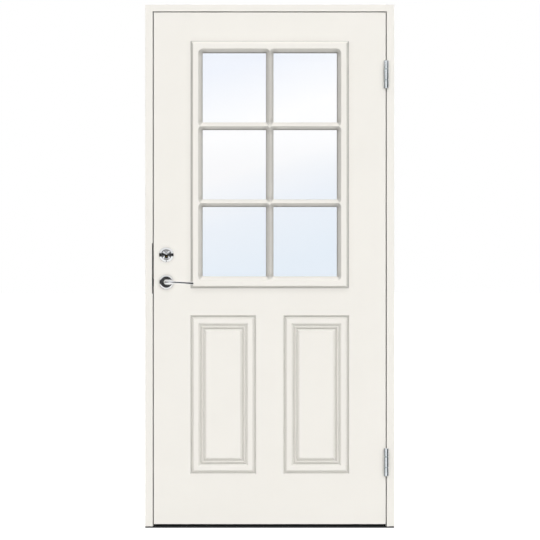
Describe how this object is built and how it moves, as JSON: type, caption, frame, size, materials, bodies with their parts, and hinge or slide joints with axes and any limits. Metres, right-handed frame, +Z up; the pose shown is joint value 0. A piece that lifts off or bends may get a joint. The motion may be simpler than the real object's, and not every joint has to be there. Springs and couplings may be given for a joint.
{
  "type": "panelled front door",
  "caption": "Outward-opening white front door set: glazed lattice lights above routed panels, in a rebated frame with hinges, lever latch and deadbolt.",
  "frame": {"origin": "centre of the threshold's underside, midway through the frame's depth", "axes": "+X right seen from outside, +Y into the building, +Z up"},
  "size_m": [0.99, 0.1814, 2.08],
  "materials": {
    "white_paint": "satin off-white paint on timber and board",
    "timber": "planed softwood",
    "foam": "rigid insulating foam",
    "dark_threshold": "dark anodised",
    "rubber_seal": "matt black sealing profile",
    "zinc_steel": "zinc plated",
    "chrome": "polished",
    "turned_chrome": "turned face with a fine circular grain",
    "brass": "dull",
    "clear_glass": "clear sealed unit with a faint blue cast",
    "spacer_plastic": "black"
  },
  "bodies": {
    "frame": {"lock_jamb": "white_paint", "hinge_jamb": "white_paint", "frame_head": "white_paint", "threshold": "dark_threshold", "frame_seal": "rubber_seal", "threshold_seal": "rubber_seal", "strike_plate": "zinc_steel", "strike_screws": "zinc_steel", "upper_hinge_frame_plate": "zinc_steel", "lower_hinge_frame_plate": "zinc_steel", "upper_hinge_pin": "zinc_steel", "lower_hinge_pin": "zinc_steel", "hinge_washers": "zinc_steel", "hinge_frame_screws": "zinc_steel", "frame_corner_screws": "zinc_steel"},
    "leaf": {"outer_skin": "white_paint", "inner_skin": "white_paint", "lock_stile": "timber", "lock_block": "timber", "hinge_stile": "timber", "top_rail": "timber", "bottom_rail": "timber", "insulation_core": "foam", "outer_glazing_frame": "white_paint", "inner_glazing_frame": "white_paint", "outer_pane": "clear_glass", "middle_pane": "clear_glass", "inner_pane": "clear_glass", "outer_spacer": "spacer_plastic", "inner_spacer": "spacer_plastic", "outer_glazing_tape": "rubber_seal", "inner_glazing_tape": "rubber_seal", "glazing_blocks": "spacer_plastic", "glazing_screws": "zinc_steel", "lock_case": "zinc_steel", "lock_case_cover": "zinc_steel", "lock_faceplate": "zinc_steel", "faceplate_screws": "zinc_steel", "cylinder_ring": "chrome", "cylinder_body": "turned_chrome", "cylinder_screws": "zinc_steel", "outer_rose": "chrome", "inner_rose": "chrome", "rose_bases": "zinc_steel", "rose_screws": "zinc_steel", "thumbturn_rose": "chrome", "upper_hinge_leaf_plate": "zinc_steel", "lower_hinge_leaf_plate": "zinc_steel", "hinge_leaf_screws": "zinc_steel"},
    "lever_set": {"outer_lever": "chrome", "inner_lever": "chrome", "spindle": "zinc_steel", "latch_follower": "zinc_steel", "lever_grub_screws": "zinc_steel"},
    "latch": {"latch_bolt": "zinc_steel"},
    "deadbolt": {"deadbolt": "zinc_steel"},
    "key_plug": {"key_plug": "brass"},
    "thumbturn": {"thumbturn": "chrome", "bolt_cam": "zinc_steel"}
  },
  "joints": [
    {"name": "leaf_swing", "type": "hinge", "parent": "frame", "child": "leaf", "pos_m": [0.463, -0.0635, 1], "axis": [0, 0, 1], "range_deg": [0, 120]},
    {"name": "lever_turn", "type": "hinge", "parent": "leaf", "child": "lever_set", "pos_m": [-0.411, -0.0215, 0.977], "axis": [0, 1, 0], "range_deg": [0, 45], "stiffness_Nm_per_rad": 1.5, "springref_deg": -22.92},
    {"name": "latch_slide", "type": "slide", "parent": "leaf", "child": "latch", "axis": [1, 0, 0], "range_m": [0, 0.0125]},
    {"name": "thumbturn_turn", "type": "hinge", "parent": "leaf", "child": "thumbturn", "pos_m": [-0.411, -0.0215, 1.0788], "axis": [0, -1, 0], "range_deg": [0, 90]},
    {"name": "deadbolt_slide", "type": "slide", "parent": "leaf", "child": "deadbolt", "axis": [-1, 0, 0], "range_m": [0, 0.02]},
    {"name": "key_plug_turn", "type": "hinge", "parent": "leaf", "child": "key_plug", "pos_m": [-0.411, -0.0215, 1.0788], "axis": [0, -1, 0], "range_deg": [0, 90]}
  ],
  "couplings": [
    {"joint": "latch_slide", "follows": "lever_turn", "m_per_rad": 0.015914},
    {"joint": "thumbturn_turn", "follows": "deadbolt_slide", "rad_per_m": 78.54},
    {"joint": "key_plug_turn", "follows": "deadbolt_slide", "rad_per_m": 78.54}
  ]
}
